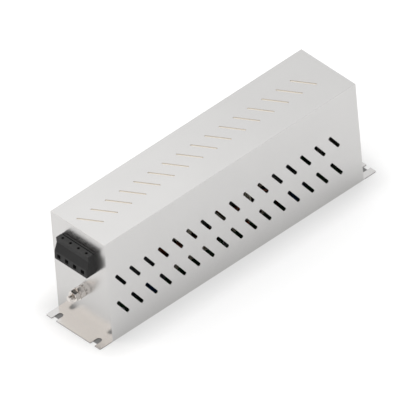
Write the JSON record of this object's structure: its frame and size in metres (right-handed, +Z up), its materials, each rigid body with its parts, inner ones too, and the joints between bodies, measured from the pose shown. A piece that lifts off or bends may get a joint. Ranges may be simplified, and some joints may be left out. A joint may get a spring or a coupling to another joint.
{
  "type": "emi filter",
  "caption": "Mains interference filter in a long ventilated metal case, with a terminal block and an earth stud at each end and open fixing slots in its end flanges.",
  "frame": {"origin": "middle of the underside, on the surface that the filter is screwed to", "axes": "+X along the case from the line terminals to the load terminals, +Y across it, +Z up from the base"},
  "size_m": [0.334, 0.07, 0.11],
  "materials": {
    "housing_sheet": "bright cold-rolled steel sheet, satin, plated",
    "base_sheet": "zinc-plated steel sheet, satin",
    "plated_screw": "zinc-plated steel",
    "spacer_brass": "nickel-plated brass",
    "liner_film": "cream insulating sheet, matt",
    "board_laminate": "glass-epoxy laminate with solder resist",
    "resistor_body": "lacquered film resistor",
    "block_moulding": "black moulded thermoplastic, fine matt texture",
    "clamp_steel": "zinc-plated steel",
    "earth_plated": "bright nickel-plated steel",
    "tinned_copper": "tinned copper",
    "capacitor_case": "moulded plastic case filled with resin",
    "small_capacitor_case": "moulded plastic case filled with resin",
    "core_coating": "smooth insulating core case",
    "choke_moulding": "moulded polyamide",
    "winding_enamel": "enamelled copper wire"
  },
  "bodies": {
    "root": {"housing": "housing_sheet", "insulation_liner": "liner_film", "base_plate": "base_sheet", "fixing_rails": "base_sheet", "base_screws": "plated_screw", "spacers": "spacer_brass", "circuit_board": "board_laminate", "board_screws": "plated_screw", "discharge_resistors": "resistor_body", "y_capacitor_1": "small_capacitor_case", "y_capacitor_2": "small_capacitor_case", "y_capacitor_3": "small_capacitor_case", "y_capacitor_4": "small_capacitor_case", "line_terminal_block": "block_moulding", "load_terminal_block": "block_moulding", "line_clamp_cages": "clamp_steel", "load_clamp_cages": "clamp_steel", "line_clamp_screws": "clamp_steel", "load_clamp_screws": "clamp_steel", "line_earth_bolt": "earth_plated", "load_earth_bolt": "earth_plated", "line_earth_toothed_washer": "earth_plated", "load_earth_toothed_washer": "earth_plated", "line_earth_lock_nut": "earth_plated", "load_earth_lock_nut": "earth_plated", "line_earth_washer": "earth_plated", "load_earth_washer": "earth_plated", "line_earth_outer_nut": "earth_plated", "load_earth_outer_nut": "earth_plated", "line_earth_strap": "tinned_copper", "load_earth_strap": "tinned_copper", "line_bar_1": "tinned_copper", "load_bar_1": "tinned_copper", "line_bar_2": "tinned_copper", "load_bar_2": "tinned_copper", "line_bar_3": "tinned_copper", "load_bar_3": "tinned_copper", "line_bar_4": "tinned_copper", "load_bar_4": "tinned_copper", "line_x_capacitor_1": "capacitor_case", "load_x_capacitor_1": "capacitor_case", "line_x_capacitor_2": "capacitor_case", "load_x_capacitor_2": "capacitor_case", "line_x_capacitor_3": "capacitor_case", "load_x_capacitor_3": "capacitor_case", "line_choke_core": "core_coating", "load_choke_core": "core_coating", "line_choke_spider": "choke_moulding", "load_choke_spider": "choke_moulding", "line_choke_cradle": "choke_moulding", "load_choke_cradle": "choke_moulding", "line_choke_winding_1": "winding_enamel", "load_choke_winding_1": "winding_enamel", "line_choke_winding_2": "winding_enamel", "load_choke_winding_2": "winding_enamel", "line_choke_winding_3": "winding_enamel", "load_choke_winding_3": "winding_enamel", "line_choke_winding_4": "winding_enamel", "load_choke_winding_4": "winding_enamel"}
  },
  "joints": []
}
